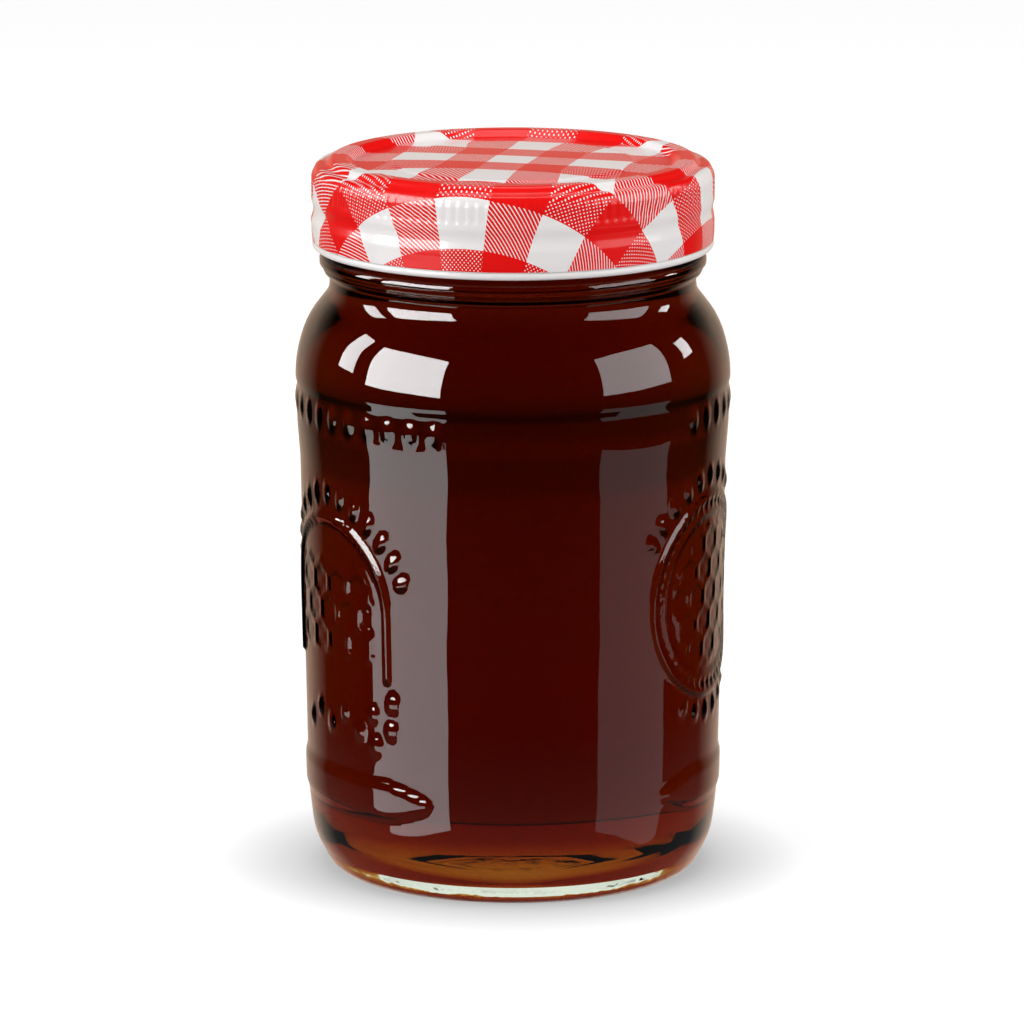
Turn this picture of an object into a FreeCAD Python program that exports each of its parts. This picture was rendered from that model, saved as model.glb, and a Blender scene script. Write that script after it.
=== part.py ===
# A glass jar of honey under a one-piece screw lid of drawn tinplate.
# Millimetres, +Z up, axis on Z, standing on z = 0 on the ring under its base.
import FreeCAD, Part
import math
import os

# ---- driving sizes ---------------------------------------------------------------------------

# overall
RIM_HEIGHT = 131.55       # the mouth of the glass
SHOULDER_RADIUS = 39.85   # widest point of the bare glass

# glass body, outside: heights that end in _DOWN are below the rim, _IN are inside SHOULDER_RADIUS
SHOULDER_DOWN = 36.55
NECK_DOWN = 24.15
LEDGE_BELOW_SHOULDER = 4.1
LEDGE_STEP = 0.25         # the fine step round the shoulder
LEDGE_TALL = 0.5
FLARE_BELOW_SHOULDER = 12.0
FLARE_IN = 0.4            # where the body has flared to the shoulder
WAIST_BELOW_SHOULDER = 18.5
WAIST_IN = 0.8            # top of the straight body
LOW_HEIGHT = 15.0         # bottom of the straight body
LOW_IN = 2.0
SHOULDER_TALL = 7.0       # from the widest point up to where the shoulder turns in
SHOULDER_TURN_IN = 2.01
HEEL_IN = 4.35            # from the straight body to the heel
HEEL_TALL = 6.0
HEEL_SPREAD = 3.3
FOOT_IN = 1.2             # from the heel to the ring the jar stands on
FOOT_WIDTH = 4.0
FOOT_SLOPE = 2.0
PUSH_UP = 1.6             # hollow under the base

# glass walls
WALL = 2.5
BASE_THICKNESS = 4.4
FLOOR_IN = 1.0            # the floor ends this far inside the heel's wall
INNER_TURN_IN = 2.2       # where the inside turns in under the shoulder
INNER_SHOULDER_DROP = 1.0
INNER_TURN_TALL = 5.5
INNER_NECK_RISE = 1.2     # the bore starts this far above the outer neck

# mouth, neck and the bead under the lid
BORE_RADIUS = 30.1
LIP_WIDTH = 2.8           # rim, bore to outside
LIP_TALL = 3.0
LIP_TAPER_TALL = 3.0
NECK_WALL = 3.4           # bore to the outside of the neck
NECK_FLARE = 0.4
FINISH_TALL = 19.8        # bead to rim
BEAD_STAND_OUT = 1.85
BEAD_TALL = 2.85
BEAD_STEP = 0.6
BEAD_STEP_TALL = 0.9
RIM_ROUNDING = 0.5

# lid
THREAD_SPACE = 3.0        # between the neck and the skirt, where the hidden thread runs
TINPLATE = 0.25
PANEL_DROP = 1.25         # panel below the ring
SHELF_DROP = 1.3          # outer shelf below the ring
RING_OVERHANG = 0.2       # ring past the lip, both ways
RING_SLOPE = 0.9          # from the ring down to the shelf
PANEL_FOOT = 0.5          # the panel's edge inside its wall
PANEL_BUTTON_INSET = 6.7  # from the panel's edge
PANEL_BUTTON_SLOPE = 0.5
PANEL_BUTTON_RISE = 0.3
SHELF_EDGE = 0.9
CURL_RADIUS = 0.75        # rolled edge
CURL_IN = 0.1
CURL_NECK = 0.15
CURL_ABOVE_BEAD = 0.75
MOUTH_CLEARANCE = 0.35    # panel wall to bore
GROOVE_DEPTH = 0.35       # between the knurled band and the thread bulge
GRIP_TOP = 1.8            # these six are down the skirt, from the shelf
GRIP_END = 6.2
GROOVE_TOP = 7.6
GROOVE_END = 8.4
BULGE_TOP = 9.8
BULGE_END = 12.2

# honey
HEADSPACE = 6.3           # rim down to the honey

# raised ornament on the glass
FRONT = -90.0             # the plain front faces -Y
RELIEF = 0.5
RELIEF_ROOT = 1.0         # how far it runs into the wall
BELT_HEIGHT = 18.0
BELT_TALL = 6.0
BELT_STAND_OUT = 0.45
BELT_SLOPE = 0.9
BELT_SWEEP = 85.0
RIGHT_BELT_START = 45.0   # round the jar from the front, to the right
LEFT_BELT_START = -108.0
MEDALLION_ANGLE = 68.0
MEDALLION_HEIGHT = 53.8
MEDALLION_RADIUS = 18.8
MEDALLION_RIM = 1.6
MEDALLION_ROWS = 4
ARCH_ANGLE = -60.0
ARCH_FOOT = 41.0
ARCH_WIDE = 33.6
ARCH_TALL = 28.7
ARCH_RIM = 1.6
ARCH_ROWS = 3
PEARL_WIDE = 2.8          # oval pearls in a row under the ledge
PEARL_TALL = 5.0
PEARL_STEP = 7.0          # degrees round the jar
PEARL_BELOW_SHOULDER = 7.7
LEFT_PEARLS = (-92.0, 10) # the first one's angle from the front, and how many
RIGHT_PEARLS = (57.0, 6)
CELL_ACROSS = 6.0         # honeycomb, middle to middle
CELL_GAP = 0.4
CELL_RIM = 0.9

# ---- sizes that follow -----------------------------------------------------------------------

SHOULDER_HEIGHT = RIM_HEIGHT - SHOULDER_DOWN
NECK_HEIGHT = RIM_HEIGHT - NECK_DOWN
WAIST_HEIGHT = SHOULDER_HEIGHT - WAIST_BELOW_SHOULDER
LEDGE_HEIGHT = SHOULDER_HEIGHT - LEDGE_BELOW_SHOULDER
WAIST_RADIUS = SHOULDER_RADIUS - WAIST_IN
LOW_RADIUS = SHOULDER_RADIUS - LOW_IN
LEDGE_RADIUS = SHOULDER_RADIUS - LEDGE_STEP
FLARE_HEIGHT = SHOULDER_HEIGHT - FLARE_BELOW_SHOULDER
FLARE_RADIUS = SHOULDER_RADIUS - FLARE_IN
HEEL_RADIUS = LOW_RADIUS - HEEL_IN
NECK_RADIUS = BORE_RADIUS + NECK_WALL
LIP_RADIUS = BORE_RADIUS + LIP_WIDTH
BEAD_RADIUS = NECK_RADIUS + BEAD_STAND_OUT
BEAD_LOW = RIM_HEIGHT - FINISH_TALL
BEAD_TOP = BEAD_LOW + BEAD_TALL
LID_RADIUS = NECK_RADIUS + THREAD_SPACE + TINPLATE
HONEY_LEVEL = RIM_HEIGHT - HEADSPACE

# ---- helpers ---------------------------------------------------------------------------------


def at(radius, height):
    """A point in the plane that is turned about the axis."""
    return FreeCAD.Vector(radius, 0, height)


def rounded_edges(corners):
    """Straight runs from corner to corner; each corner is (radius, height, rounding).
    A rounding is an arc tangent to both runs: it starts rounding * tan(turn / 2) before the corner."""
    edges = []
    start = at(*corners[0][:2])
    for before, corner, after in zip(corners, corners[1:], corners[2:]):
        here = at(*corner[:2])
        inward = (here - at(*before[:2])).normalize()
        outward = (at(*after[:2]) - here).normalize()
        turn = inward.getAngle(outward)
        if corner[2] <= 0 or turn < 1e-6:
            edges.append(Part.LineSegment(start, here).toShape())
            start = here
            continue
        reach = corner[2] * math.tan(turn / 2)
        bisector = (outward - inward).normalize()
        first = here - inward * reach
        last = here + outward * reach
        middle = here + bisector * (corner[2] / math.cos(turn / 2) - corner[2])
        if (first - start).Length > 1e-6:
            edges.append(Part.LineSegment(start, first).toShape())
        edges.append(Part.Arc(first, middle, last).toShape())
        start = last
    edges.append(Part.LineSegment(start, at(*corners[-1][:2])).toShape())
    return edges


def turned(corners, start_angle=0.0, sweep=360.0):
    """The solid swept by a closed outline of corners that is turned about the axis."""
    edges = rounded_edges(corners + [corners[0]])
    solid = Part.Face(Part.Wire(edges)).revolve(
        FreeCAD.Vector(0, 0, 0), FreeCAD.Vector(0, 0, 1), sweep)
    if start_angle:
        solid.rotate(FreeCAD.Vector(0, 0, 0), FreeCAD.Vector(0, 0, 1), start_angle)
    return solid


def outer_body(grow=0.0):
    """Corners of the outside of the glass from the straight body to the shoulder, grown outwards."""
    return [
        (LOW_RADIUS + grow, LOW_HEIGHT, 60.0),
        (WAIST_RADIUS + grow, WAIST_HEIGHT, 20.0),
        (FLARE_RADIUS + grow, FLARE_HEIGHT, 20.0),
        (LEDGE_RADIUS + grow, LEDGE_HEIGHT, 0.3),
        (SHOULDER_RADIUS + grow, LEDGE_HEIGHT + LEDGE_TALL, 0.3),
        (SHOULDER_RADIUS + grow, SHOULDER_HEIGHT, 24.0),
        (SHOULDER_RADIUS - SHOULDER_TURN_IN + grow, SHOULDER_HEIGHT + SHOULDER_TALL, 16.0),
    ]


def inner_glass():
    """Corners of the inside of the glass, from the floor up to the bore."""
    return [
        (0.0, BASE_THICKNESS, 0.0),
        (HEEL_RADIUS - WALL - FLOOR_IN, BASE_THICKNESS, 4.0),
        (LOW_RADIUS - WALL, LOW_HEIGHT, 9.0),
        (WAIST_RADIUS - WALL, WAIST_HEIGHT, 20.0),
        (SHOULDER_RADIUS - WALL, SHOULDER_HEIGHT - INNER_SHOULDER_DROP, 16.0),
        (SHOULDER_RADIUS - WALL - INNER_TURN_IN, SHOULDER_HEIGHT + INNER_TURN_TALL, 8.0),
        (BORE_RADIUS, NECK_HEIGHT + INNER_NECK_RISE, 4.0),
    ]


# ---- glass jar -------------------------------------------------------------------------------


def bare_glass():
    """The jar without its ornament: foot, heel, body, shoulder, neck, bead and mouth."""
    foot_inner = HEEL_RADIUS - FOOT_IN - FOOT_WIDTH
    outside = [
        (0.0, PUSH_UP, 0.0),
        (foot_inner - FOOT_SLOPE, PUSH_UP, 2.5),
        (foot_inner, 0.0, 0.6),
        (HEEL_RADIUS, 0.0, 1.8),
        (HEEL_RADIUS + HEEL_SPREAD, HEEL_TALL, 12.0),
    ]
    outside += outer_body()
    outside += [
        (NECK_RADIUS + NECK_FLARE, NECK_HEIGHT - NECK_FLARE, 0.8),
        (NECK_RADIUS, NECK_HEIGHT + NECK_FLARE, 0.8),
        (NECK_RADIUS, BEAD_LOW - BEAD_STEP_TALL, 0.4),
        (BEAD_RADIUS - BEAD_STEP, BEAD_LOW - BEAD_STEP_TALL, 0.4),
        (BEAD_RADIUS - BEAD_STEP, BEAD_LOW, 0.2),
        (BEAD_RADIUS, BEAD_LOW, 0.9),
        (BEAD_RADIUS, BEAD_TOP, 1.2),
        (NECK_RADIUS, BEAD_TOP, 0.5),
        (NECK_RADIUS, RIM_HEIGHT - LIP_TALL - LIP_TAPER_TALL, 3.0),
        (LIP_RADIUS, RIM_HEIGHT - LIP_TALL, 3.0),
        (LIP_RADIUS, RIM_HEIGHT, RIM_ROUNDING),
        (BORE_RADIUS, RIM_HEIGHT, RIM_ROUNDING),
    ]
    return turned(outside + inner_glass()[::-1])


def body_skin():
    """The layer that raised ornament fills: from inside the wall to RELIEF outside it."""
    outline = []
    for wall in (outer_body(RELIEF), outer_body(-RELIEF_ROOT)[::-1]):
        ends = [(radius, height, 0.0) for radius, height, rounding in (wall[0], wall[-1])]
        outline += [ends[0]] + wall[1:-1] + [ends[1]]
    return turned(outline)


def facing(shape, angle):
    """A flat shape drawn in X and Z, pushed outwards through the wall and turned to its angle."""
    solid = shape.extrude(FreeCAD.Vector(0, -2 * SHOULDER_RADIUS, 0))
    solid.rotate(FreeCAD.Vector(0, 0, 0), FreeCAD.Vector(0, 0, 1), angle)
    return solid


def ring_face(outer, inner):
    """A flat face between two closed wires."""
    return Part.Face(outer).cut(Part.Face(inner))


def ellipse_wire(wide, tall, height):
    """An upright ellipse about the line at the given height."""
    middle = FreeCAD.Vector(0, 0, height)
    top = FreeCAD.Vector(0, 0, height + tall / 2)
    side = FreeCAD.Vector(wide / 2, 0, height)
    return Part.Wire(Part.Ellipse(top, side, middle).toShape())


def circle_wire(radius, height):
    """A circle about the line at the given height."""
    circle = Part.Circle(FreeCAD.Vector(0, 0, height), FreeCAD.Vector(0, 1, 0), radius)
    return Part.Wire(circle.toShape())


def arch_wire(wide, tall, foot):
    """A window shape: straight sides under a half circle."""
    half = wide / 2
    spring = foot + tall - half
    left_foot = FreeCAD.Vector(-half, 0, foot)
    right_foot = FreeCAD.Vector(half, 0, foot)
    left_top = FreeCAD.Vector(-half, 0, spring)
    right_top = FreeCAD.Vector(half, 0, spring)
    crown = FreeCAD.Vector(0, 0, foot + tall)
    return Part.Wire([
        Part.LineSegment(left_foot, right_foot).toShape(),
        Part.LineSegment(right_foot, right_top).toShape(),
        Part.Arc(right_top, crown, left_top).toShape(),
        Part.LineSegment(left_top, left_foot).toShape(),
    ])


def hexagon_wire(across, x, z):
    """A regular hexagon, a point at its top, from its size flat to flat."""
    reach = across / math.sqrt(3)
    points = [FreeCAD.Vector(x + reach * math.sin(k * math.pi / 3), 0,
                             z + reach * math.cos(k * math.pi / 3)) for k in range(7)]
    return Part.makePolygon(points)


def honeycomb_faces(rows, z):
    """Rings of hexagons in staggered rows, as many cells wide as tall, about the height z."""
    faces = []
    row_step = CELL_ACROSS * math.sqrt(3) / 2
    outer = CELL_ACROSS - CELL_GAP
    for row in range(rows):
        for column in range(rows - row % 2):
            cell_x = (column - (rows - 1 - row % 2) / 2) * CELL_ACROSS
            cell_z = z + (row - (rows - 1) / 2) * row_step
            faces.append(ring_face(hexagon_wire(outer, cell_x, cell_z),
                                   hexagon_wire(outer - 2 * CELL_RIM, cell_x, cell_z)))
    return faces


def ornament():
    """Raised figures: a medallion to the right, an arch to the left, both of honeycomb, and pearls."""
    medallion = [ring_face(circle_wire(MEDALLION_RADIUS, MEDALLION_HEIGHT),
                           circle_wire(MEDALLION_RADIUS - MEDALLION_RIM, MEDALLION_HEIGHT))]
    medallion += honeycomb_faces(MEDALLION_ROWS, MEDALLION_HEIGHT)
    arch = [ring_face(
        arch_wire(ARCH_WIDE, ARCH_TALL, ARCH_FOOT),
        arch_wire(ARCH_WIDE - 2 * ARCH_RIM, ARCH_TALL, ARCH_FOOT - ARCH_RIM))]
    arch += honeycomb_faces(ARCH_ROWS, ARCH_FOOT + ARCH_TALL / 2)
    pearl = Part.Face(ellipse_wire(PEARL_WIDE, PEARL_TALL, SHOULDER_HEIGHT - PEARL_BELOW_SHOULDER))
    figures = [facing(face, MEDALLION_ANGLE) for face in medallion]
    figures += [facing(face, ARCH_ANGLE) for face in arch]
    for first, count in (LEFT_PEARLS, RIGHT_PEARLS):
        figures += [facing(pearl, first + k * PEARL_STEP) for k in range(count)]
    return Part.makeCompound(figures).common(body_skin()).Solids


def belt(start):
    """A raised belt part of the way round the bottom of the body, from an angle off the front."""
    slope = (WAIST_RADIUS - LOW_RADIUS) / (WAIST_HEIGHT - LOW_HEIGHT)
    surface = LOW_RADIUS + slope * (BELT_HEIGHT - LOW_HEIGHT)
    low = BELT_HEIGHT - BELT_TALL / 2
    high = BELT_HEIGHT + BELT_TALL / 2
    corners = [
        (surface - RELIEF_ROOT, low, 0.0),
        (surface, low, 0.0),
        (surface + BELT_STAND_OUT, low + BELT_SLOPE, 0.8),
        (surface + BELT_STAND_OUT, high - BELT_SLOPE, 0.8),
        (surface, high, 0.0),
        (surface - RELIEF_ROOT, high, 0.0),
    ]
    return turned(corners, FRONT + start, BELT_SWEEP)


def glass_jar():
    """One solid of glass: the jar with its belts and figures."""
    belts = [belt(RIGHT_BELT_START), belt(LEFT_BELT_START)]
    return bare_glass().fuse(belts + ornament()).removeSplitter()


# ---- honey -----------------------------------------------------------------------------------


def honey():
    """What fills the jar: the inside of the glass, up to the level."""
    return turned(inner_glass() + [(BORE_RADIUS, HONEY_LEVEL, 0.0), (0.0, HONEY_LEVEL, 0.0)])


# ---- lid -------------------------------------------------------------------------------------


def lid():
    """A cap drawn from one sheet: the path of its outer face, thickened inwards, with a curl."""
    top = RIM_HEIGHT + TINPLATE
    panel = top - PANEL_DROP
    shelf = top - SHELF_DROP
    panel_edge = BORE_RADIUS - MOUTH_CLEARANCE - TINPLATE - PANEL_FOOT
    button = panel_edge - PANEL_BUTTON_INSET
    ring_outer = LIP_RADIUS + RING_OVERHANG
    groove = LID_RADIUS - GROOVE_DEPTH
    curl_middle = BEAD_TOP + CURL_ABOVE_BEAD + CURL_RADIUS
    path = [
        (0.0, panel + PANEL_BUTTON_RISE, 0.0),
        (button - PANEL_BUTTON_SLOPE, panel + PANEL_BUTTON_RISE, 1.0),
        (button + PANEL_BUTTON_SLOPE, panel, 1.0),
        (panel_edge, panel, 0.5),
        (BORE_RADIUS + RING_OVERHANG, top, 0.6),
        (ring_outer, top, 0.8),
        (ring_outer + RING_SLOPE, shelf, 0.7),
        (LID_RADIUS - SHELF_EDGE, shelf, 0.9),
        (LID_RADIUS, shelf - GRIP_TOP, 1.6),
        (LID_RADIUS, shelf - GRIP_END, 1.0),
        (groove, shelf - GROOVE_TOP, 1.2),
        (groove, shelf - GROOVE_END, 1.2),
        (LID_RADIUS, shelf - BULGE_TOP, 1.2),
        (LID_RADIUS, shelf - BULGE_END, 1.2),
        (LID_RADIUS - CURL_NECK, curl_middle, 0.0),
    ]
    sheet = Part.Wire(rounded_edges(path)).makeOffset2D(-TINPLATE, 0, True, True, False)
    skin = sheet.revolve(FreeCAD.Vector(0, 0, 0), FreeCAD.Vector(0, 0, 1), 360)
    curl = Part.makeTorus(LID_RADIUS - CURL_IN - CURL_RADIUS, CURL_RADIUS)
    curl.translate(FreeCAD.Vector(0, 0, curl_middle))
    return skin.fuse(curl).removeSplitter()


# ---- write -----------------------------------------------------------------------------------

os.makedirs("parts", exist_ok=True)
for name, make in (("glass_jar", glass_jar), ("honey", honey), ("lid", lid)):
    shape = make()
    solid = shape.Solids[0] if len(shape.Solids) == 1 else shape
    solid.exportStep("parts/%s.step" % name)
    box = solid.optimalBoundingBox(True, False)
    print("%s: %s, %d solid(s), valid %s, %.0f mm3, x %.2f..%.2f z %.2f..%.2f" % (
        name, solid.ShapeType, len(shape.Solids), solid.isValid(), solid.Volume,
        box.XMin, box.XMax, box.ZMin, box.ZMax))
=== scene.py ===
# %% [markdown]
# # A jar of honey
# A pressed-glass preserving jar, filled with dark honey and closed by a one-piece lid that is
# drawn from a sheet of printed tinplate. The three pieces come from CAD as plain solids. Here
# each gets the surface of the real thing: the raised ornament of the glass mould, the print
# that stretched as the lid was drawn, and honey that swallows more light the deeper it gets.

# %% Load the frame and keep its box
import math

import bpy
import numpy as np
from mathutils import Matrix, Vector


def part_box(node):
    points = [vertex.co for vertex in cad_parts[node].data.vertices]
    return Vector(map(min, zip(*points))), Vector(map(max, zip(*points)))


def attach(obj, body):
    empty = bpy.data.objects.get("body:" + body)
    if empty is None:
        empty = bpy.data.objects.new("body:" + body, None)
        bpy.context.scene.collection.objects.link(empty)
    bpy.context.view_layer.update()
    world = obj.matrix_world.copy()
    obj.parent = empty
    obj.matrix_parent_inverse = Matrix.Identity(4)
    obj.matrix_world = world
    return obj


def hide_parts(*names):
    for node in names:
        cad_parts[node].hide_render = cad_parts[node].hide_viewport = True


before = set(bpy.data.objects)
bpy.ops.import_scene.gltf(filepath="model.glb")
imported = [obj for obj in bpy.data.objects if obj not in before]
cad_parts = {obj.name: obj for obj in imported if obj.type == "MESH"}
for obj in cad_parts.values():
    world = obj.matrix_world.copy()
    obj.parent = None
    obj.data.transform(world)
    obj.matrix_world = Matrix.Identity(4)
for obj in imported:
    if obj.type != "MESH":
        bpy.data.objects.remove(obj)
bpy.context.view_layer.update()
MM = 0.001

jar_high = np.array(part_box("glass_jar")[1]) / MM
honey_low, honey_high = (np.array(corner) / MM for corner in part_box("honey"))
lid_low, lid_high = (np.array(corner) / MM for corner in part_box("lid"))
print("jar %.1f mm tall, honey from %.2f to %.2f, lid top at %.2f" % (
    jar_high[2], honey_low[2], honey_high[2], lid_high[2]))

# %% [markdown]
# ## Outlines
# All three pieces are turned shapes, like pots on a wheel. Each starts as an outline, a few
# corners in millimetres from the axis and from the table. The corners are rounded by arcs that
# are tangent to both runs, as a mould maker's are, and the outline is then sampled as finely
# as its relief needs.


# %% An outline from its corners
def outline(corners, arc_points=9):
    """Points along straight runs with rounded corners. Each corner is (radius, height, rounding).
    The arc leaves each run at rounding * tan(turn / 2) from the corner, and a point on it is the
    arc's middle plus rounding times the unit vector that turns from one tangent point to the other."""
    corners = np.array(corners, float)
    points = [corners[0, :2]]
    for before, corner, after in zip(corners, corners[1:], corners[2:]):
        here, rounding = corner[:2], corner[2]
        inward = (here - before[:2]) / np.linalg.norm(here - before[:2])
        outward = (after[:2] - here) / np.linalg.norm(after[:2] - here)
        turn = math.acos(float(np.clip(inward @ outward, -1, 1)))
        if rounding <= 0 or turn < 1e-5:
            points.append(here)
            continue
        reach = rounding * math.tan(turn / 2)
        side = np.sign(inward[0] * outward[1] - inward[1] * outward[0])
        normal = side * np.array([-inward[1], inward[0]])
        middle = here - inward * reach + normal * rounding
        swing = np.linspace(0, turn, arc_points)[:, None]
        points.extend(middle - rounding * (np.cos(swing) * normal - np.sin(swing) * inward))
    points.append(corners[-1, :2])
    return np.array(points)


def sampled(points, count, weight=None):
    """The outline at count places. Places are evenly spaced along its length times weight(height),
    so that a weight of 3 puts points three times as close."""
    fine = [points[:1]]
    for start, end in zip(points[:-1], points[1:]):
        pieces = max(1, int(np.linalg.norm(end - start) / 0.05))
        fine.append(start + (end - start) * np.arange(1, pieces + 1)[:, None] / pieces)
    fine = np.concatenate(fine)
    steps = np.linalg.norm(np.diff(fine, axis=0), axis=1)
    if weight is not None:
        steps = steps * weight((fine[1:, 1] + fine[:-1, 1]) / 2)
    along = np.concatenate([[0], np.cumsum(steps)])
    wanted = np.linspace(0, along[-1], count)
    return np.stack([np.interp(wanted, along, fine[:, 0]), np.interp(wanted, along, fine[:, 1])], 1)


# %% [markdown]
# ## A turned mesh
# The grid has one row for each outline point and one column for each angle. The first and last
# points lie on the axis, so each end closes in a pole, and the mesh has no hole: glass and
# honey both need that, because light is bent and absorbed between where it enters and leaves.


# %% A closed mesh from rows of an outline
def turned_mesh(name, radii, heights, angles):
    """radii and heights are grids, rows by columns, in millimetres. A point is
    (radius * sin(angle), -radius * cos(angle), height), so that angle 0 faces the front."""
    rows, columns = radii.shape
    x = radii * np.sin(angles)
    y = -radii * np.cos(angles)
    body = np.stack([x, y, heights], -1).reshape(-1, 3)
    low_pole = [0, 0, heights[0, 0]]
    high_pole = [0, 0, heights[-1, 0]]
    points = np.concatenate([body, [low_pole, high_pole]]) * MM
    grid = np.arange(rows * columns).reshape(rows, columns)
    right = np.roll(grid, -1, axis=1)
    quads = np.stack([grid[:-1], right[:-1], right[1:], grid[1:]], -1).reshape(-1, 4)
    low, high = rows * columns, rows * columns + 1
    low_fan = np.stack([np.full(columns, low), right[0], grid[0]], -1)
    high_fan = np.stack([np.full(columns, high), grid[-1], right[-1]], -1)
    mesh = bpy.data.meshes.new(name)
    mesh.from_pydata(points.tolist(), [], quads.tolist() + low_fan.tolist() + high_fan.tolist())
    mesh.polygons.foreach_set("use_smooth", np.ones(len(mesh.polygons), bool))
    mesh.update()
    piece = bpy.data.objects.new(name, mesh)
    bpy.context.scene.collection.objects.link(piece)
    print("%s: %d vertices, %d faces" % (name, len(mesh.vertices), len(mesh.polygons)))
    return piece


# %% [markdown]
# ## Node and colour helpers
# Colours are written as sRGB hex, as a paint chart gives them, and turned to the linear values
# that the shader mixes. One helper adds a node with its settings and links.


# %% Helpers for materials
MATH = "ShaderNodeMath"
RAMP = "ShaderNodeMapRange"


def linear(hex_colour):
    """sRGB to linear: values up to 0.04045 are divided by 12.92, others are
    ((value + 0.055) / 1.055) to the power 2.4."""
    values = [int(hex_colour[k:k + 2], 16) / 255 for k in (1, 3, 5)]
    return [v / 12.92 if v <= 0.04045 else ((v + 0.055) / 1.055) ** 2.4 for v in values] + [1.0]


def add(tree, kind, inputs=None, **settings):
    """Adds a node. settings are its properties, and inputs are socket values, or sockets or nodes to
    link, where a node stands for its first output."""
    node = tree.nodes.new(kind)
    for key, value in settings.items():
        setattr(node, key, value)
    for key, value in (inputs or {}).items():
        if isinstance(value, bpy.types.Node):
            value = value.outputs[0]
        if isinstance(value, bpy.types.NodeSocket):
            tree.links.new(value, node.inputs[key])
        else:
            node.inputs[key].default_value = value
    return node


def new_material(name):
    """A material with its Principled shader and its output."""
    material = bpy.data.materials.new(name)
    material.use_nodes = True
    tree = material.node_tree
    shader = tree.nodes["Principled BSDF"]
    output = tree.nodes["Material Output"]
    return material, tree, shader, output


# %% [markdown]
# ## The glass
# The outside follows the CAD outline: a foot ring, a rounded heel, a body that widens a little
# towards the shoulder, a neck, and the bead on which a jar is held in the mould. A relief map
# is added to it, worked out in millimetres along the surface: belts, a row of pearls, an arch
# and a round medallion, filled with honeycomb. Modelling it, instead of faking it with bump,
# is what makes the honey behind swim and glint as it does behind real moulded glass.

# %% Sizes of the glass
WALL = 2.5
SHOULDER_RADIUS = 39.85
rim = jar_high[2]
floor_height = honey_low[2]
shoulder = rim - 36.55          # the height at which the shoulder starts to turn in
neck_height = rim - 24.15
LOW_RADIUS = SHOULDER_RADIUS - 2.0
LOW_HEIGHT = 15.0
HEEL_RADIUS = LOW_RADIUS - 4.35
WAIST_RADIUS = SHOULDER_RADIUS - 0.8
waist_height = shoulder - 18.5
FLARE_RADIUS = SHOULDER_RADIUS - 0.27
flare_height = shoulder - 11.5
LEDGE_STEP = 0.25
ledge_height = shoulder - 4.1
BORE_RADIUS = 30.1
NECK_RADIUS = BORE_RADIUS + 3.4
LIP_RADIUS = BORE_RADIUS + 2.8
BEAD_RADIUS = NECK_RADIUS + 1.85
bead_low = rim - 19.8
bead_top = bead_low + 2.85
PUSH_UP = 1.6
FOOT_OUTER = HEEL_RADIUS - 1.2
FOOT_INNER = FOOT_OUTER - 4.0

glass_outside = [
    (0.02, PUSH_UP, 0), (FOOT_INNER - 2.0, PUSH_UP, 2.5), (FOOT_INNER, 0.0, 0.6),
    (HEEL_RADIUS, 0.0, 1.8), (HEEL_RADIUS + 3.3, 6.0, 12.0),
    (LOW_RADIUS, LOW_HEIGHT, 60.0), (WAIST_RADIUS, waist_height, 20.0),
    (FLARE_RADIUS, flare_height, 20.0), (SHOULDER_RADIUS - LEDGE_STEP, ledge_height, 0.3),
    (SHOULDER_RADIUS, ledge_height + 0.5, 0.3), (SHOULDER_RADIUS, shoulder, 24.0),
    (SHOULDER_RADIUS - 2.01, shoulder + 7.0, 16.0),
    (NECK_RADIUS + 0.4, neck_height - 0.4, 0.8), (NECK_RADIUS, neck_height + 0.4, 0.8),
    (NECK_RADIUS, bead_low - 0.9, 0.4), (BEAD_RADIUS - 0.6, bead_low - 0.9, 0.4),
    (BEAD_RADIUS - 0.6, bead_low, 0.2), (BEAD_RADIUS, bead_low, 0.9),
    (BEAD_RADIUS, bead_top, 1.2), (NECK_RADIUS, bead_top, 0.5),
    (NECK_RADIUS, rim - 6.0, 3.0), (LIP_RADIUS, rim - 3.0, 3.0),
    (LIP_RADIUS, rim, 0.5), (BORE_RADIUS + 1.0, rim, 0.0),
]
inside = [
    (0.02, floor_height, 0), (HEEL_RADIUS - WALL - 1.0, floor_height, 4.0),
    (LOW_RADIUS - WALL, LOW_HEIGHT, 9.0), (WAIST_RADIUS - WALL, waist_height, 20.0),
    (SHOULDER_RADIUS - WALL, shoulder - 1.0, 16.0), (SHOULDER_RADIUS - WALL - 2.2, shoulder + 5.5, 8.0),
    (BORE_RADIUS, neck_height + 1.2, 4.0),
]

# %% Columns: close together where there is relief, wider apart on the plain front and back
FIGURED = ((-104, -14), (36, 106))
PLAIN_STEP = 1.5
FIGURED_STEP = 0.55


def figured_angles():
    """Angles in degrees all round, at FIGURED_STEP inside the figured spans and PLAIN_STEP outside."""
    marks = [-180, *FIGURED[0], *FIGURED[1], 180]
    spans = []
    for k, (start, end) in enumerate(zip(marks[:-1], marks[1:])):
        step = FIGURED_STEP if k % 2 else PLAIN_STEP
        spans.append(np.linspace(start, end, int(round((end - start) / step)), endpoint=False))
    return np.radians(np.concatenate(spans))


# %% [markdown]
# ### The relief map
# Each figure is a height in millimetres, from the distance to a line on the unrolled glass.
# A ridge has a round top, as pressed glass has, because molten glass never fills a sharp edge.


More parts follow.
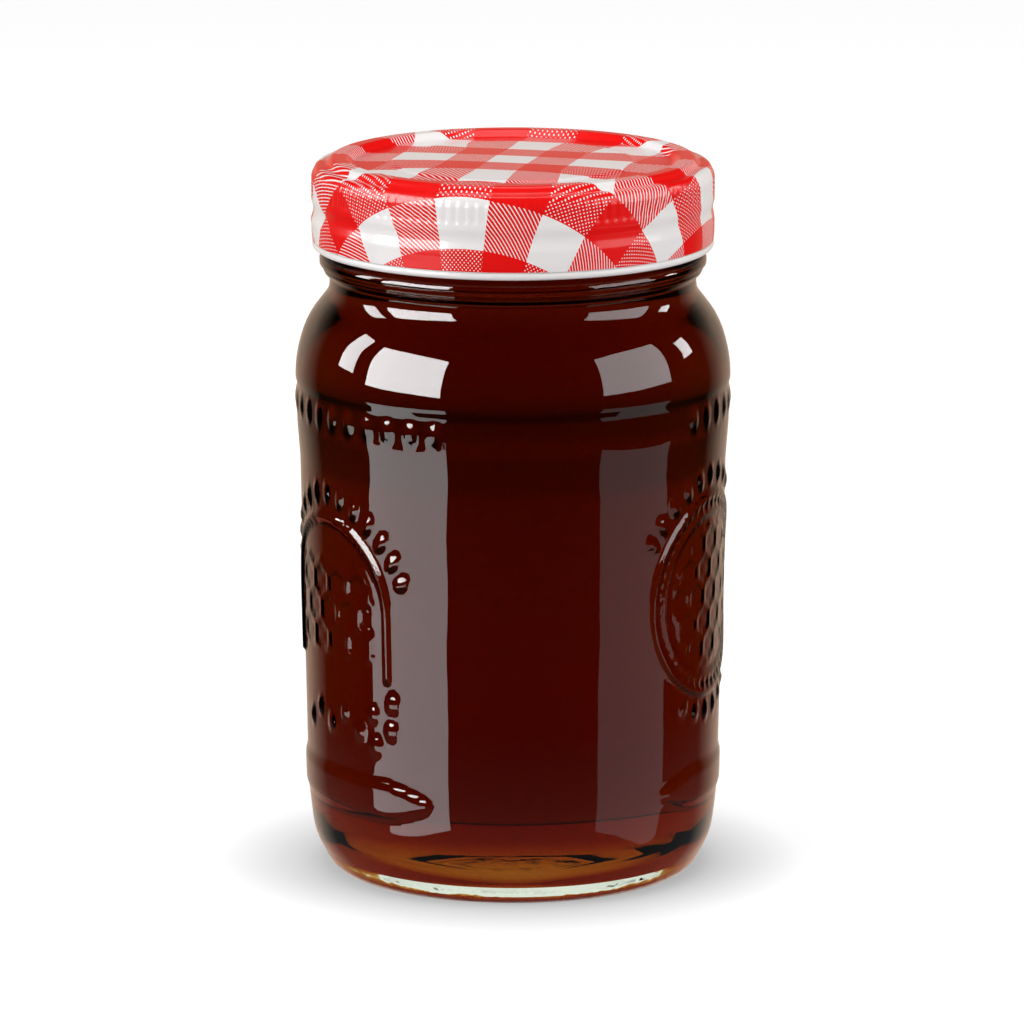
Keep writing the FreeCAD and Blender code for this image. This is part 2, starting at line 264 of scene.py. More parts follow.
# %% Places and sizes of the figures, in degrees from the front and in millimetres
BELT_SPANS = ((-108.0, -23.0), (45.0, 130.0))
BELT_HEIGHT = 18.4
BELT_HALF_TALL = 3.2
BELT_TAPER = 9.0
BELT_RAISED = 0.38
MEDALLION_ANGLE = 68.0
MEDALLION_HEIGHT = 53.8
MEDALLION_RIM = 18.2
MEDALLION_INNER_RIM = 15.6
ROPE_RADIUS = 16.9
ROPE_HALF_WIDE = 1.2
ROPE_STEP = 2.2
MEDALLION_FIELD = 13.0
CROWN_RADIUS = 22.0
ARCH_ANGLE = -60.0
ARCH_FOOT = 41.0
ARCH_HALF_WIDE = 16.0
ARCH_TALL = 27.9
BOW_CENTRE = 9.4
BOW_RADIUS = 23.0
BOW_HALF_ANGLE = 1.25
PEARL_STEP = 4.4
LEDGE_ROW_SPANS = ((-104.0, -19.0), (52.0, 104.0))
LEDGE_ROW_BELOW_SHOULDER = 7.7
LEDGE_ROW_STEP = 4.8
# each drop: distance right of the arch's middle, height, radius
DROPS = (
    (17.0, 36.6, 2.0), (12.5, 34.0, 1.7), (16.6, 31.5, 1.9), (9.0, 30.4, 1.8), (4.6, 33.2, 1.5),
    (13.0, 28.2, 2.1), (0.2, 30.6, 1.8), (-4.6, 32.6, 1.6), (-9.0, 30.0, 1.8),
)
DROP_RAISED = 0.45


# %% Heights of the figures
def ridge(distance, half_width, height):
    """A round-topped ridge: height times (1 - (distance / half_width) squared) to the power 1.5."""
    inside_part = np.clip(1 - (distance / half_width) ** 2, 0, None)
    return height * inside_part ** 1.5


def plateau(distance, soft, height):
    """height where distance is well under 0, falling to 0 over soft either side of the edge:
    3 t squared minus 2 t cubed, where t goes from 0 to 1 across the edge."""
    t = np.clip(0.5 - distance / (2 * soft), 0, 1)
    return height * (3 * t ** 2 - 2 * t ** 3)


def arch_distance(across, up, half_wide, tall):
    """Distance to a window outline, negative inside it: straight sides under a half circle. across
    and up are measured from the middle of its foot."""
    spring = tall - half_wide
    round_part = np.hypot(across, up - spring) - half_wide
    box_part = np.maximum(np.abs(across) - half_wide, -up)
    return np.where(up > spring, round_part, box_part)


def honeycomb(across, up, size):
    """Distance to the nearest wall of a hexagon grid. With three axes 60 degrees apart, the distance
    to a hexagon's wall is size / 2 less the largest of the three coordinates from its middle."""
    step = size * math.sqrt(3)
    best = None
    for shift in (0.0, 0.5):
        x = (across / size + shift) % 1 * size - size / 2
        z = (up / step + shift) % 1 * step - step / 2
        edge = np.maximum(np.abs(x), np.abs(x) / 2 + np.abs(z) * math.sqrt(3) / 2)
        best = edge if best is None else np.minimum(best, edge)
    return size / 2 - best


def pearls(along, up, spacing, wide, tall, height):
    """A row of oval beads, spacing apart."""
    near = (along / spacing + 0.5) % 1 * spacing - spacing / 2
    return ridge(np.hypot(near / wide, up / tall), 1.0, height)


# %% The figures one by one
def belts(degrees, height, radius):
    """Flat bands left and right of the plain front. They thin out towards their ends as the distance
    from the end to the power 0.6."""
    total = np.zeros_like(height)
    for start, end in BELT_SPANS:
        beyond = np.maximum(start - degrees, degrees - end) * math.pi / 180 * radius
        half_tall = np.clip(-beyond / BELT_TAPER, 0, 1) ** 0.6 * BELT_HALF_TALL
        edge = np.maximum(beyond, np.abs(height - BELT_HEIGHT) - half_tall)
        total += plateau(edge, soft=1.0, height=BELT_RAISED)
    return total


def medallion(angle, height, radius):
    """Two round ridges with a roped band between them, honeycomb inside and a crown of pearls."""
    across = (angle - math.radians(MEDALLION_ANGLE)) * radius
    up = height - MEDALLION_HEIGHT
    reach = np.hypot(across, up)
    around = np.arctan2(up, across)
    total = ridge(reach - MEDALLION_RIM, half_width=0.9, height=0.5)
    total += ridge(reach - MEDALLION_INNER_RIM, half_width=0.7, height=0.35)
    along_rope = (around * ROPE_RADIUS / ROPE_STEP + 0.5) % 1 * ROPE_STEP - ROPE_STEP / 2
    off_rope = reach - ROPE_RADIUS
    rope = ridge(np.hypot(along_rope, off_rope), half_width=0.8, height=0.25)
    total += np.where(np.abs(off_rope) < ROPE_HALF_WIDE, rope, 0)
    cells = ridge(honeycomb(across, up, size=5.6), half_width=0.9, height=0.22)
    total += np.where(reach < MEDALLION_FIELD, cells, 0)
    crowned = (around > 0.9) & (around < 2.6) | (around < -1.0) & (around > -2.1)
    crown = pearls(around * CROWN_RADIUS, reach - CROWN_RADIUS, PEARL_STEP,
                   wide=1.5, tall=2.2, height=0.4)
    return total + np.where(crowned, crown, 0)


def arch(angle, height, radius):
    """A window outline, open at its foot, with honeycomb inside, a bow of pearls over it and drops
    under it."""
    across = (angle - math.radians(ARCH_ANGLE)) * radius
    up = height - ARCH_FOOT
    frame_line = arch_distance(across, np.maximum(up, 1.0), ARCH_HALF_WIDE, ARCH_TALL)
    open_foot = np.clip((up + 0.6) / 0.6, 0, 1)
    total = ridge(frame_line, half_width=0.95, height=0.6) * open_foot
    filled = (frame_line < -3.0) & (up > -3) & (up < 20)
    cells = ridge(honeycomb(across, up, size=6.0), half_width=0.95, height=0.25)
    total += np.where(filled, cells, 0)
    around = np.arctan2(across, up - BOW_CENTRE)
    off_bow = np.hypot(across, up - BOW_CENTRE) - BOW_RADIUS + 1.5 * np.abs(around)
    bow = pearls(around * BOW_RADIUS, off_bow, PEARL_STEP, wide=1.5, tall=2.3, height=0.45)
    total += np.where(np.abs(around) < BOW_HALF_ANGLE, bow, 0)
    for drop_across, drop_height, size in DROPS:
        total += ridge(np.hypot(across - drop_across, (height - drop_height) * 0.8), size, DROP_RAISED)
    return total


def ledge_row(degrees, height, radius):
    """Oval pearls side by side in a row under the ledge."""
    along = math.pi / 180 * degrees * radius
    row = pearls(along, height - (shoulder - LEDGE_ROW_BELOW_SHOULDER), LEDGE_ROW_STEP,
                 wide=1.7, tall=2.7, height=0.36)
    total = np.zeros_like(height)
    for start, end in LEDGE_ROW_SPANS:
        total += np.where((degrees > start) & (degrees < end), row, 0)
    return total


def relief(angle, height, radius):
    """The whole relief map in millimetres, on a grid of angles and heights."""
    degrees = np.degrees(angle)
    return (belts(degrees, height, radius) + medallion(angle, height, radius)
            + arch(angle, height, radius) + ledge_row(degrees, height, radius))


# %% Build the glass
OUTER_ROWS = 172
INNER_ROWS = 36


def glass_weight(height):
    """Rows nearly twice as close over the figured part of the body, and closer over the neck."""
    return np.where((height > 13.5) & (height < 92), 1.9, 1.0) + np.where(height > 108.5, 0.6, 0)


glass_angles = figured_angles()
outer_rows = sampled(outline(glass_outside), OUTER_ROWS, glass_weight)
inner_rows = sampled(outline(inside + [(BORE_RADIUS, rim, 0)]), INNER_ROWS)[::-1]
glass_rows = np.concatenate([outer_rows, inner_rows])
radius_grid = np.repeat(glass_rows[:, :1], len(glass_angles), 1)
height_grid = np.repeat(glass_rows[:, 1:], len(glass_angles), 1)
outer_radius = radius_grid[:OUTER_ROWS]
outer_height = height_grid[:OUTER_ROWS]
raised = relief(glass_angles[None, :], outer_height, outer_radius)
figured_rows = (outer_height > 13) & (outer_height < ledge_height) & (outer_radius > 37)
radius_grid[:OUTER_ROWS] += np.where(figured_rows, raised, 0)
print("relief up to %.2f mm" % raised.max())
glass = turned_mesh("clear_glass_jar", radius_grid, height_grid, glass_angles)

# %% [markdown]
# ## The honey
# It fills the glass to its level. Its skin is pushed a fifth of a millimetre into the wall, so
# that light goes from glass to honey with no film of air between, which would shine like foil.

# %% Build the honey
INTO_WALL = 0.2
level = honey_high[2]
honey_inside = [(0.02, inside[0][1] - INTO_WALL, 0)]
honey_inside += [(radius + INTO_WALL, height - (INTO_WALL if k == 0 else 0), rounding)
                 for k, (radius, height, rounding) in enumerate(inside[1:])]
honey_inside += [(BORE_RADIUS + INTO_WALL, level, 0.3), (0.02, level, 0)]
HONEY_ROWS = 150
HONEY_COLUMNS = 180
honey_rows = sampled(outline(honey_inside), HONEY_ROWS)
honey_angles = np.radians(np.arange(0, 360, 360 / HONEY_COLUMNS))
honey = turned_mesh("honey_fill", np.repeat(honey_rows[:, :1], HONEY_COLUMNS, 1),
                    np.repeat(honey_rows[:, 1:], HONEY_COLUMNS, 1), honey_angles)

# %% [markdown]
# ## The lid
# A lid is stamped from a flat printed sheet: a ring is raised, the panel is pressed down, the
# skirt is drawn, its top is knurled for grip and its edge is rolled. The print was flat, so
# each point keeps the place it had on the sheet. That place goes into the UV map, and the
# check pattern then stretches over the skirt by itself, into the lozenges seen beside the front.

# %% The lid's outline
TINPLATE = 0.25
lid_radius = lid_high[0]
lid_top = lid_high[2]
panel = lid_top - 1.25
shelf = lid_top - 1.3
CURL = 0.75
curl_height = lid_low[2] + CURL
curl_axis = lid_radius - 0.1 - CURL
lid_outside = [
    (0.02, panel + 0.3, 0), (21.8, panel + 0.3, 1.0), (22.8, panel, 1.0), (29.0, panel, 0.5),
    (30.3, lid_top, 0.6), (33.1, lid_top, 0.8), (34.0, shelf, 0.7), (lid_radius - 0.9, shelf, 0.9),
    (lid_radius, shelf - 1.8, 1.6), (lid_radius, shelf - 6.2, 1.0), (lid_radius - 0.35, shelf - 7.6, 1.2),
    (lid_radius - 0.35, shelf - 8.4, 1.2), (lid_radius, shelf - 9.8, 1.2),
    (lid_radius, shelf - 12.2, 1.2), (lid_radius - 0.15, curl_height + 0.6, 0.0),
]
SKIN_ROWS = 150
skin = sampled(outline(lid_outside), SKIN_ROWS)
tangent = np.gradient(skin, axis=0)
tangent /= np.linalg.norm(tangent, axis=1)[:, None]
inner_skin = skin + np.stack([tangent[:, 1], -tangent[:, 0]], 1) * TINPLATE
inner_skin[0] = (0.02, skin[0, 1] - TINPLATE)
sweep = np.radians(np.linspace(55, -200, 14))[:, None]
curl = np.array([curl_axis, curl_height]) + CURL * np.concatenate([np.cos(sweep), np.sin(sweep)], 1)
lid_rows = np.concatenate([skin, curl, inner_skin[-6::-6]])
if lid_rows[-1, 0] > 0.1:
    lid_rows = np.concatenate([lid_rows, inner_skin[:1]])

# %% Knurls and the rolled thread
KNURLS = 132
KNURL_DEPTH = 0.2
THREAD_DROP = 3.0
THREAD_RAISED = 0.12
lid_angles = np.radians(np.arange(0, 360, 360 / (KNURLS * 4)))


def knurled(angle, height):
    """Rounded flutes, a cosine round the lid, faded over 0.6 mm at their top and 0.8 mm at their foot."""
    top, bottom = shelf - 0.9, shelf - 5.4
    fade = np.clip((top - height) / 0.6, 0, 1) * np.clip((height - bottom) / 0.8, 0, 1)
    return -KNURL_DEPTH * fade * (0.5 + 0.5 * np.cos(KNURLS * angle))


def rolled_thread(angle, height):
    """A low ridge that drops by THREAD_DROP in a turn. Across its line it is a bell curve about 1 mm
    wide, and along the turn it rises and falls as the root of a half sine."""
    turns = (angle % (2 * math.pi)) / (2 * math.pi)
    line = shelf - 8.0 - THREAD_DROP * turns
    return THREAD_RAISED * np.exp(-((height - line) / 0.7) ** 2) * np.sin(math.pi * turns) ** 0.5


lid_r = np.repeat(lid_rows[:, :1], len(lid_angles), 1)
lid_z = np.repeat(lid_rows[:, 1:], len(lid_angles), 1)
outer_count = len(skin)
on_skirt = lid_r[:outer_count] > lid_radius - 1.5
skin_heights = lid_z[:outer_count]
pressed = knurled(lid_angles[None, :], skin_heights) + rolled_thread(lid_angles[None, :], skin_heights)
lid_r[:outer_count] += np.where(on_skirt, pressed, 0)
DOME = 0.45
DOME_RADIUS = 28.5
dome = DOME * np.clip(1 - (lid_r[:outer_count] / DOME_RADIUS) ** 2, 0, None)
lid_z[:outer_count] += dome
lid_piece = turned_mesh("printed_lid", lid_r[::-1], lid_z[::-1], lid_angles)

# %% [markdown]
# ### Where each point of the lid lay on the flat sheet
# In the middle the sheet isn't stretched, so a point's distance from the centre is what it was.
# Over the ring and the skirt the print was squeezed and pulled, and the distance on the sheet
# follows the distance along the lid more slowly.

# %% The print's UV map
along_lid = np.concatenate([[0], np.cumsum(np.linalg.norm(np.diff(lid_rows, axis=0), axis=1))])
FROM_EDGE = 90              # rows of the skin, counted from its lower edge, past the corner
corner = np.interp(shelf - 1.0, skin[::-1, 1][:FROM_EDGE], along_lid[:outer_count][::-1][:FROM_EDGE])
places_on_lid = [0, 15, 29, corner, corner + 14, corner + 60]
places_on_sheet = [0, 15, 23.6, 27.5, 39.2, 60]
on_sheet = np.interp(along_lid, places_on_lid, places_on_sheet)
GRID_TURN = math.radians(14.5)
SHEET_SIDE = 100.0          # mm, the side of the UV square
row_of_vertex = np.repeat(np.arange(len(lid_rows))[::-1], len(lid_angles))
angle_of_vertex = np.tile(lid_angles, len(lid_rows))
sheet = on_sheet[row_of_vertex]
print_u = np.concatenate([sheet * np.sin(angle_of_vertex + GRID_TURN), [0, 0]])
print_v = np.concatenate([-sheet * np.cos(angle_of_vertex + GRID_TURN), [0, 0]])
mesh = lid_piece.data
corners_of = np.zeros(len(mesh.loops), np.int32)
mesh.loops.foreach_get("vertex_index", corners_of)
uv = mesh.uv_layers.new(name="sheet")
uv.data.foreach_set("uv", (np.stack([print_u, print_v], 1)[corners_of] / SHEET_SIDE + 0.5).ravel())

# %% [markdown]
# ## Finishes
# Clear soda-lime glass bends light by 1.52 and has a faint green that only its thick parts show.
# Honey bends it by 1.49, so close that the wall between them all but vanishes.
# Where glass and honey touch there is a single boundary whose two indices are nearly the same,
# so the wetted inside of the wall and the skin of the honey bend nothing, and only the outside
# of the jar refracts and shines. Honey used without its jar needs its own 1.49.

# %% Glass
GLASS_TINT = linear("#dfeed2")
GLASS_DENSITY = 12.0
GLASS_IOR = 1.52
RIPPLE_SCALE = 55.0         # waves about 18 mm long and 0.1 mm high, left by fire polishing
RIPPLE_HEIGHT = 0.1 * MM
CHILL_SCALE = 130.0         # folds about 8 mm long, where the foot chilled in the mould
CHILL_HEIGHT = 0.4 * MM
glass_material, tree, shader, output = new_material("clear_soda_lime_glass_fire_polished")
shader.inputs["Base Color"].default_value = linear("#ffffff")
shader.inputs["Roughness"].default_value = 0.01
shader.inputs["IOR"].default_value = GLASS_IOR
shader.inputs["Transmission Weight"].default_value = 1.0
place = add(tree, "ShaderNodeTexCoord").outputs["Object"]
waves = add(tree, "ShaderNodeTexNoise", {"Vector": place, "Scale": RIPPLE_SCALE, "Detail": 1.0})
ripple = add(tree, "ShaderNodeBump", {"Height": waves.outputs["Fac"], "Strength": 1.0,
                                      "Distance": RIPPLE_HEIGHT})
height = add(tree, "ShaderNodeSeparateXYZ", {0: place}).outputs[2]
foot_only = add(tree, RAMP, {"Value": height, "From Min": 3.5 * MM, "From Max": 1.5 * MM})
chill = add(tree, "ShaderNodeTexNoise", {"Vector": place, "Scale": CHILL_SCALE, "Detail": 3.0})
chilled = add(tree, MATH, {0: chill.outputs["Fac"], 1: foot_only}, operation="MULTIPLY")
bump = add(tree, "ShaderNodeBump", {"Height": chilled, "Strength": 1.0, "Distance": CHILL_HEIGHT,
                                    "Normal": ripple.outputs["Normal"]})
tree.links.new(bump.outputs["Normal"], shader.inputs["Normal"])
absorb = add(tree, "ShaderNodeVolumeAbsorption", {"Color": GLASS_TINT, "Density": GLASS_DENSITY})
tree.links.new(absorb.outputs["Volume"], output.inputs["Volume"])
glass.data.materials.append(glass_material)

# %% The inside of the wall where honey wets it: it lets every ray straight through
wetted_material, tree, shader, output = new_material("clear_glass_wetted_by_honey")
shader.inputs["Base Color"].default_value = linear("#ffffff")
shader.inputs["Roughness"].default_value = 0.0
shader.inputs["IOR"].default_value = 1.0
shader.inputs["Transmission Weight"].default_value = 1.0
shader.inputs["Alpha"].default_value = 0.0
absorb = add(tree, "ShaderNodeVolumeAbsorption", {"Color": GLASS_TINT, "Density": GLASS_DENSITY})
tree.links.new(absorb.outputs["Volume"], output.inputs["Volume"])
glass.data.materials.append(wetted_material)

# %% Which faces are wetted
faces_of_jar = glass.data.polygons
middles = np.zeros(len(faces_of_jar) * 3)
faces_of_jar.foreach_get("center", middles)
middles = middles.reshape(-1, 3) / MM
normals = np.zeros(len(faces_of_jar) * 3)
faces_of_jar.foreach_get("normal", normals)
normals = normals.reshape(-1, 3)
inwards = (normals[:, :2] * middles[:, :2]).sum(1) < -1e-3
from_axis = np.hypot(middles[:, 0], middles[:, 1])
floor_face = (from_axis < HEEL_RADIUS) & (np.abs(middles[:, 2] - floor_height) < 0.8)
wetted = (inwards | floor_face) & (middles[:, 2] < level) & (middles[:, 2] > floor_height - 0.5)
wetted &= (normals[:, 2] > -0.99)
faces_of_jar.foreach_set("material_index", wetted.astype(np.int32))
print("wetted faces of the jar: %d of %d" % (wetted.sum(), len(wetted)))

# %% Honey: it swallows blue twice as fast as green, and green three times as fast as red
HONEY_TINT = linear("#f5e1b7")
HONEY_DENSITY = 338.3
honey_material, tree, shader, output = new_material("dark_honey")
shader.inputs["Base Color"].default_value = linear("#ffffff")
shader.inputs["Roughness"].default_value = 0.0
shader.inputs["IOR"].default_value = 1.0
shader.inputs["Transmission Weight"].default_value = 1.0
absorb = add(tree, "ShaderNodeVolumeAbsorption", {"Color": HONEY_TINT, "Density": HONEY_DENSITY})
tree.links.new(absorb.outputs["Volume"], output.inputs["Volume"])
honey.data.materials.append(honey_material)

# %% [markdown]
# ### Printed tinplate
# Gingham is two sets of stripes crossed: red where both are red, white where neither is, and
# between them a half tone. A printer makes the half tone from fine red lines on white, about
# 0.4 mm apart. They are drawn here at 0.52 mm, a little coarser, so that they stay clear at arm's
# length. One set of half-tone checks has lines and the other has dots, from two sets of lines.

# %% The check
CHECK = 7.6                 # mm across a stripe
HALF_TONE_STEP = 0.52
COLUMN_OFFSET = 0.5
ROW_OFFSET = 0.57
LINES_FROM = -0.6           # a wave is inked where it is above this
DOTS_FROM = -1.15           # two crossed waves are inked where their sum is above this
PRINTED_RADIUS = 38.2
lid_material, tree, shader, output = new_material("lacquered_printed_tinplate")
sheet_place = add(tree, "ShaderNodeUVMap", uv_map="sheet")
spread = add(tree, "ShaderNodeVectorMath", {0: sheet_place, 1: (-0.5, -0.5, 0)}, operation="ADD")
split = add(tree, "ShaderNodeSeparateXYZ", {0: spread}).outputs
u_mm = add(tree, MATH, {0: split[0], 1: SHEET_SIDE}, operation="MULTIPLY")
v_mm = add(tree, MATH, {0: split[1], 1: SHEET_SIDE}, operation="MULTIPLY")


def stripes(value, offset):
    """1 on every second stripe: half the stripe number's fraction is over a quarter."""
    number = add(tree, MATH, {0: value, 1: 1 / CHECK, 2: offset}, operation="MULTIPLY_ADD")
    whole = add(tree, MATH, {0: number}, operation="FLOOR")
    halved = add(tree, MATH, {0: whole, 1: 0.5}, operation="MULTIPLY")
    odd = add(tree, MATH, {0: halved}, operation="FRACT")
    return add(tree, MATH, {0: odd, 1: 0.25}, operation="GREATER_THAN")


def wave(first, second, operation):
    """A sine across a diagonal of the sheet: of the sum, or of the difference, of its two places."""
    turn = 2 * math.pi / HALF_TONE_STEP / math.sqrt(2)
    across = add(tree, MATH, {0: first, 1: second}, operation=operation)
    turned = add(tree, MATH, {0: across, 1: turn}, operation="MULTIPLY")
    return add(tree, MATH, {0: turned}, operation="SINE")


red_column = stripes(u_mm, COLUMN_OFFSET)
red_row = stripes(v_mm, ROW_OFFSET)
both = add(tree, MATH, {0: red_column, 1: red_row}, operation="MULTIPLY")
count = add(tree, MATH, {0: red_column, 1: red_row}, operation="ADD")
either = add(tree, MATH, {0: both, 1: -2.0, 2: count}, operation="MULTIPLY_ADD")

# %% The half tone
rising = wave(u_mm, v_mm, "ADD")
falling = wave(u_mm, v_mm, "SUBTRACT")
crossed = add(tree, MATH, {0: rising, 1: falling}, operation="ADD")
lines = add(tree, MATH, {0: rising, 1: LINES_FROM}, operation="GREATER_THAN")
dots = add(tree, MATH, {0: crossed, 1: DOTS_FROM}, operation="GREATER_THAN")
column_tone = add(tree, MATH, {0: lines, 1: red_column}, operation="MULTIPLY")
row_tone = add(tree, MATH, {0: dots, 1: red_row}, operation="MULTIPLY")
any_tone = add(tree, MATH, {0: column_tone, 1: row_tone}, operation="ADD")
tone = add(tree, MATH, {0: either, 1: any_tone}, operation="MULTIPLY")
inked = add(tree, MATH, {0: both, 1: tone}, operation="ADD")
red_amount = add(tree, MATH, {0: inked, 1: 1.0}, operation="MINIMUM")
from_centre = add(tree, "ShaderNodeVectorMath", {0: spread}, operation="LENGTH").outputs["Value"]
printed = add(tree, MATH, {0: from_centre, 1: PRINTED_RADIUS / SHEET_SIDE}, operation="LESS_THAN")
red_printed = add(tree, MATH, {0: red_amount, 1: printed}, operation="MULTIPLY")

# %% Ink and lacquer
WHITE_INK = linear("#f2eeed")
RED_INK = linear("#ef0c0a")
ink = add(tree, "ShaderNodeMix", {"Factor": red_printed, 6: WHITE_INK, 7: RED_INK}, data_type="RGBA")
tree.links.new(ink.outputs[2], shader.inputs["Base Color"])
shader.inputs["Roughness"].default_value = 0.3
shader.inputs["IOR"].default_value = 1.5
shader.inputs["Specular IOR Level"].default_value = 0.16
shader.inputs["Coat Weight"].default_value = 0.3
shader.inputs["Coat Roughness"].default_value = 0.08
lid_piece.data.materials.append(lid_material)

# %% [markdown]
# ## Each piece rides on the root, and its CAD part is hidden

# %% Ride and replace
for piece, node, slot_name in ((glass, "glass_jar", "clear_glass"), (honey, "honey", "honey"),
                               (lid_piece, "lid", "printed_tinplate")):
    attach(piece, "root")
    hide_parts(node)

# %% [markdown]
# ## Camera, floor and light
# The camera looks down a little from well back, which keeps the sides of the jar nearly
# parallel. An upright wall then mirrors what lies below the horizon, so a low glow on each side
# lays a long straight highlight down the glass, and the dark gap between them keeps the honey
# deep. The soft boxes above the horizon show in the shoulder and the lid.

# %% Camera
LOOKS_DOWN = 12.293         # degrees
lens_data = bpy.data.cameras.new("long_lens")
lens_data.sensor_width = 36.0
lens_data.lens = 250.3
lens_data.clip_end = 50.0
camera = bpy.data.objects.new("camera", lens_data)
camera.location = (-0.00018, -1.280, 0.3444)
camera.rotation_euler = (math.radians(90 - LOOKS_DOWN), 0, 0)
bpy.context.scene.collection.objects.link(camera)
bpy.context.scene.camera = camera
bpy.context.scene.view_settings.view_transform = "Standard"


# %% Soft boxes
LAMP_DISTANCE = 3.0
JAR_MIDDLE = 0.06


def soft_box(name, azimuth, wide_angle, low_angle, high_angle, glow, shows=True, lights_up=True):
    """A rectangular lamp far off, facing the jar. azimuth is from the camera's side, towards +X, and
    low_angle and high_angle are above the horizon of the jar's middle. Its power is
    pi * area * glow, so that its face shines with that brightness. shows is whether reflections
    show it, and lights_up whether it lights matt surfaces."""
    low = LAMP_DISTANCE * math.tan(math.radians(low_angle)) + JAR_MIDDLE
    high = LAMP_DISTANCE * math.tan(math.radians(high_angle)) + JAR_MIDDLE
    lamp = bpy.data.lights.new(name, "AREA")
    lamp.shape = "RECTANGLE"
    lamp.size = 2 * LAMP_DISTANCE * math.tan(math.radians(wide_angle / 2))
    lamp.size_y = high - low
    lamp.energy = math.pi * lamp.size * lamp.size_y * glow
    box = bpy.data.objects.new(name, lamp)
    turn_to = math.radians(azimuth)
    box.location = (LAMP_DISTANCE * math.sin(turn_to), -LAMP_DISTANCE * math.cos(turn_to),
                    (low + high) / 2)
    box.rotation_euler = (math.radians(90), 0, turn_to)
    box.visible_diffuse = lights_up
    box.visible_glossy = shows
    bpy.context.scene.collection.objects.link(box)


soft_box("left_key", -60, 48, 2, 34, 4.5, shows=False)
soft_box("left_soft_box", -61, 46, 2, 34, 16.0, lights_up=False)
soft_box("left_far_soft_box", -100, 12, 6, 34, 12.0, lights_up=False)
soft_box("left_low_glow", -60, 48, -26, -12.8, 3.0, lights_up=False)
soft_box("right_soft_box", 70, 44, 2, 34, 4.0)
soft_box("right_far_soft_box", 110, 9, 10, 23, 9.0, lights_up=False)
soft_box("right_low_glow", 70, 44, -26, -12.8, 0.55, lights_up=False)

# %% The soft box overhead
OVERHEAD_ACROSS = 0.7
OVERHEAD_GLOW = 3.2
overhead = bpy.data.lights.new("overhead_soft_box", "AREA")
overhead.shape = "DISK"
overhead.size = OVERHEAD_ACROSS
overhead.energy = math.pi * math.pi * (OVERHEAD_ACROSS / 2) ** 2 * OVERHEAD_GLOW
overhead_box = bpy.data.objects.new("overhead_soft_box", overhead)
overhead_box.location = (0, 0.1, 1.1)
bpy.context.scene.collection.objects.link(overhead_box)

# %% [markdown]
# ### A floor that looks white
# The floor is a mid grey paint that takes the jar's shadow, and it also gives a light of its own
# that depends on the kind of ray. The camera sees it white, and that light is turned down near
# the foot, a painted shadow added to the real one. A ray that came through the glass sees only the
# floor's own light, which sets how far the honey glows: a painted shade near the jar that rises with
# distance, and a painted pool of light under the clear base. A mirrored ray goes through the floor
# to the low glows, apart from a faint painted glow near the foot that the glass shows as a reflection.

# %% A ray's kind
def mirror_ray(tree, path):
    """1 for a ray that a surface reflected. A ray that passed through glass counts as glossy too, so
    this is glossy and not transmitted."""
    only = add(tree, MATH, {0: path["Is Glossy Ray"], 1: path["Is Transmission Ray"]},
               operation="SUBTRACT")
    return add(tree, MATH, {0: only, 1: 0.5}, operation="GREATER_THAN")


# %% Floor
FLOOR_HALF = 6
FLOOR_BELOW = 0.0001        # so that the foot and the floor don't share a face
floor_mesh = bpy.data.meshes.new("floor")
floor_corners = [(-FLOOR_HALF, -FLOOR_HALF, 0), (FLOOR_HALF, -FLOOR_HALF, 0),
                 (FLOOR_HALF, FLOOR_HALF, 0), (-FLOOR_HALF, FLOOR_HALF, 0)]
floor_mesh.from_pydata(floor_corners, [], [(0, 1, 2, 3)])
floor = bpy.data.objects.new("floor", floor_mesh)
floor.location.z = -FLOOR_BELOW
bpy.context.scene.collection.objects.link(floor)

# %% The floor's paint, black for a ray that came through the glass
floor_material, tree, shader, output = new_material("white_floor")
tree.nodes.remove(shader)
path = add(tree, "ShaderNodeLightPath").outputs
paint_colour = add(tree, "ShaderNodeMix", {"Factor": path["Is Transmission Ray"],
                                           6: linear("#bcbcbc"), 7: linear("#000000")},
                   data_type="RGBA")
paint = add(tree, "ShaderNodeBsdfDiffuse", {"Color": paint_colour.outputs[2]})

# %% The floor's own light, by distance from the jar's axis in metres
floor_place = add(tree, "ShaderNodeTexCoord").outputs["Object"]
away = add(tree, "ShaderNodeVectorMath", {0: floor_place}, operation="LENGTH").outputs["Value"]
# painted shadow round the foot: the light the camera sees is lower close to the jar's axis
camera_white_with_painted_shadow = add(tree, RAMP, {"Value": away, "From Min": 0.034, "From Max": 0.054,
                         "To Min": 0.31, "To Max": 0.66})
# painted shade for rays through the glass: the floor's light is low near the jar and rises with distance
painted_shade_near_jar = add(tree, RAMP, {"Value": away, "From Min": 0.03, "From Max": 0.35,
                              "To Min": 0.42, "To Max": 1.3})
# painted pool of light under the clear base, where light would fall through the glass
painted_light_under_base = add(tree, RAMP, {"Value": away, "From Min": 0.05, "From Max": 0.03,
                             "To Min": 0.0, "To Max": 0.45})
# painted reflection: a faint glow near the foot that only mirrored rays see
painted_reflection_glow = add(tree, RAMP, {"Value": away, "From Min": 0.05, "From Max": 0.15,
                        "To Min": 0.12, "To Max": 0.0})
through_glass = add(tree, MATH, {0: painted_shade_near_jar, 1: painted_light_under_base}, operation="ADD")
mirrors = mirror_ray(tree, path)
to_camera = add(tree, MATH, {0: path["Is Camera Ray"], 1: camera_white_with_painted_shadow}, operation="MULTIPLY")
to_glass = add(tree, MATH, {0: path["Is Transmission Ray"], 1: through_glass, 2: to_camera},
               operation="MULTIPLY_ADD")
own_light = add(tree, MATH, {0: mirrors, 1: painted_reflection_glow, 2: to_glass}, operation="MULTIPLY_ADD")

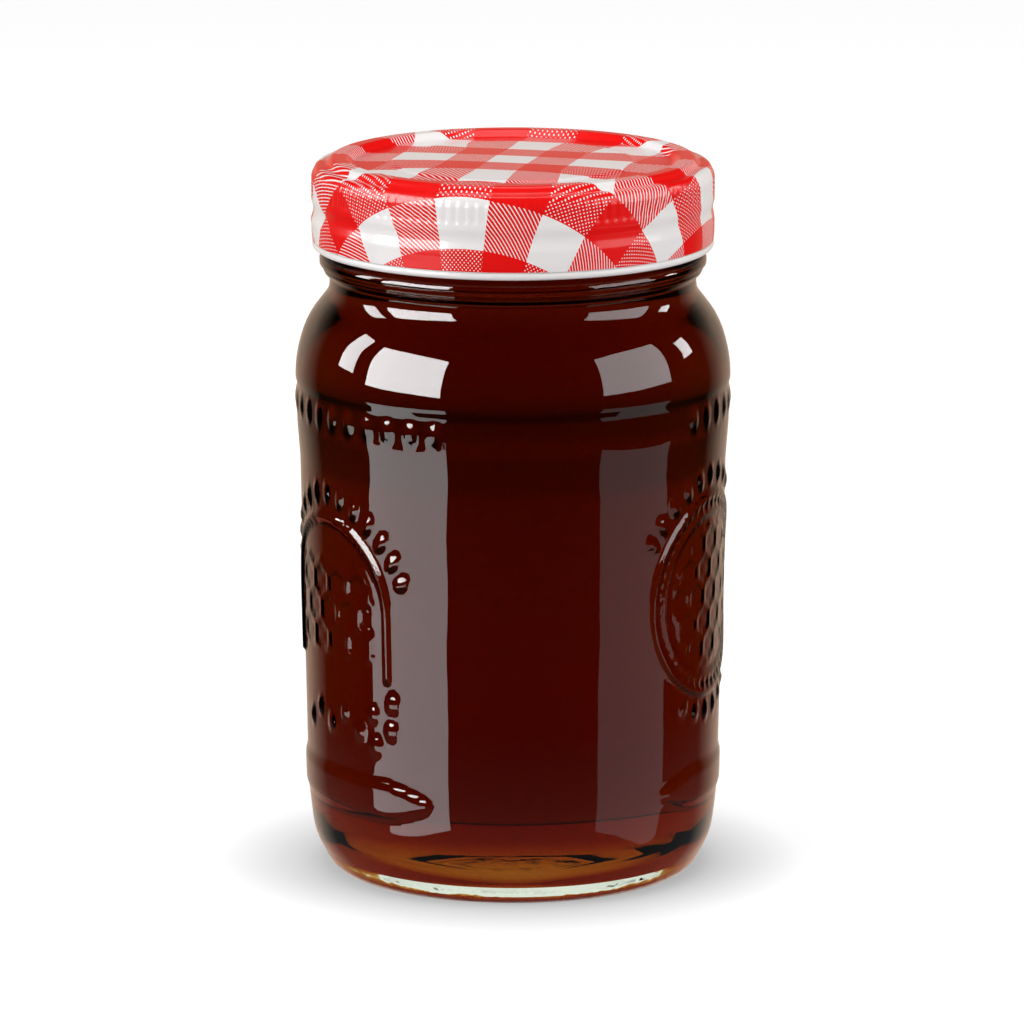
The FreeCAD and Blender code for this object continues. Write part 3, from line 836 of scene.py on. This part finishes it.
# %% The floor's finish
lift = add(tree, "ShaderNodeEmission", {"Color": linear("#ffffff"), "Strength": own_light})
clear = add(tree, "ShaderNodeBsdfTransparent")
body = add(tree, "ShaderNodeMixShader", {0: mirrors, 1: paint, 2: clear})
surface = add(tree, "ShaderNodeAddShader", {0: body, 1: lift})
tree.links.new(surface.outputs[0], output.inputs["Surface"])
floor_mesh.materials.append(floor_material)

# %% [markdown]
# ### The room
# A mirrored ray sees a dark room with a warm pale wall far behind, which edges the sides of the jar
# and shines on top of the lid. A ray that came through the glass sees pale walls all round, and
# matt surfaces get an even fill.

# %% World
FILL = 0.32
world = bpy.data.worlds.new("studio")
bpy.context.scene.world = world
world.use_nodes = True
tree = world.node_tree
path = add(tree, "ShaderNodeLightPath").outputs
mirrors = mirror_ray(tree, path)
around = add(tree, "ShaderNodeTexCoord").outputs["Generated"]
direction = add(tree, "ShaderNodeSeparateXYZ", {0: around}).outputs
back_wall = add(tree, RAMP, {"Value": direction[1], "From Min": 0.58, "From Max": 0.85,
                             "To Min": 0.01, "To Max": 0.62})
low_down = add(tree, RAMP, {"Value": direction[2], "From Min": 0.35, "From Max": 0.1,
                            "To Min": 0.05, "To Max": 1.0})
pale_walls = add(tree, RAMP, {"Value": direction[1], "From Min": -0.6, "From Max": 0.0,
                              "To Min": 0.6, "To Max": 1.0})
wall_glow = add(tree, MATH, {0: back_wall, 1: low_down}, operation="MULTIPLY")
seen = add(tree, MATH, {0: path["Is Transmission Ray"], 1: pale_walls, 2: path["Is Camera Ray"]},
           operation="MULTIPLY_ADD")
mirrored = add(tree, MATH, {0: mirrors, 1: wall_glow, 2: seen}, operation="MULTIPLY_ADD")
strength = add(tree, MATH, {0: path["Is Diffuse Ray"], 1: FILL, 2: mirrored},
               operation="MULTIPLY_ADD")
tint = add(tree, "ShaderNodeMix", {"Factor": mirrors, 6: linear("#ffffff"), 7: linear("#ffddc2")},
           data_type="RGBA")
background = tree.nodes["Background"]
tree.links.new(tint.outputs[2], background.inputs["Color"])
tree.links.new(strength.outputs[0], background.inputs["Strength"])
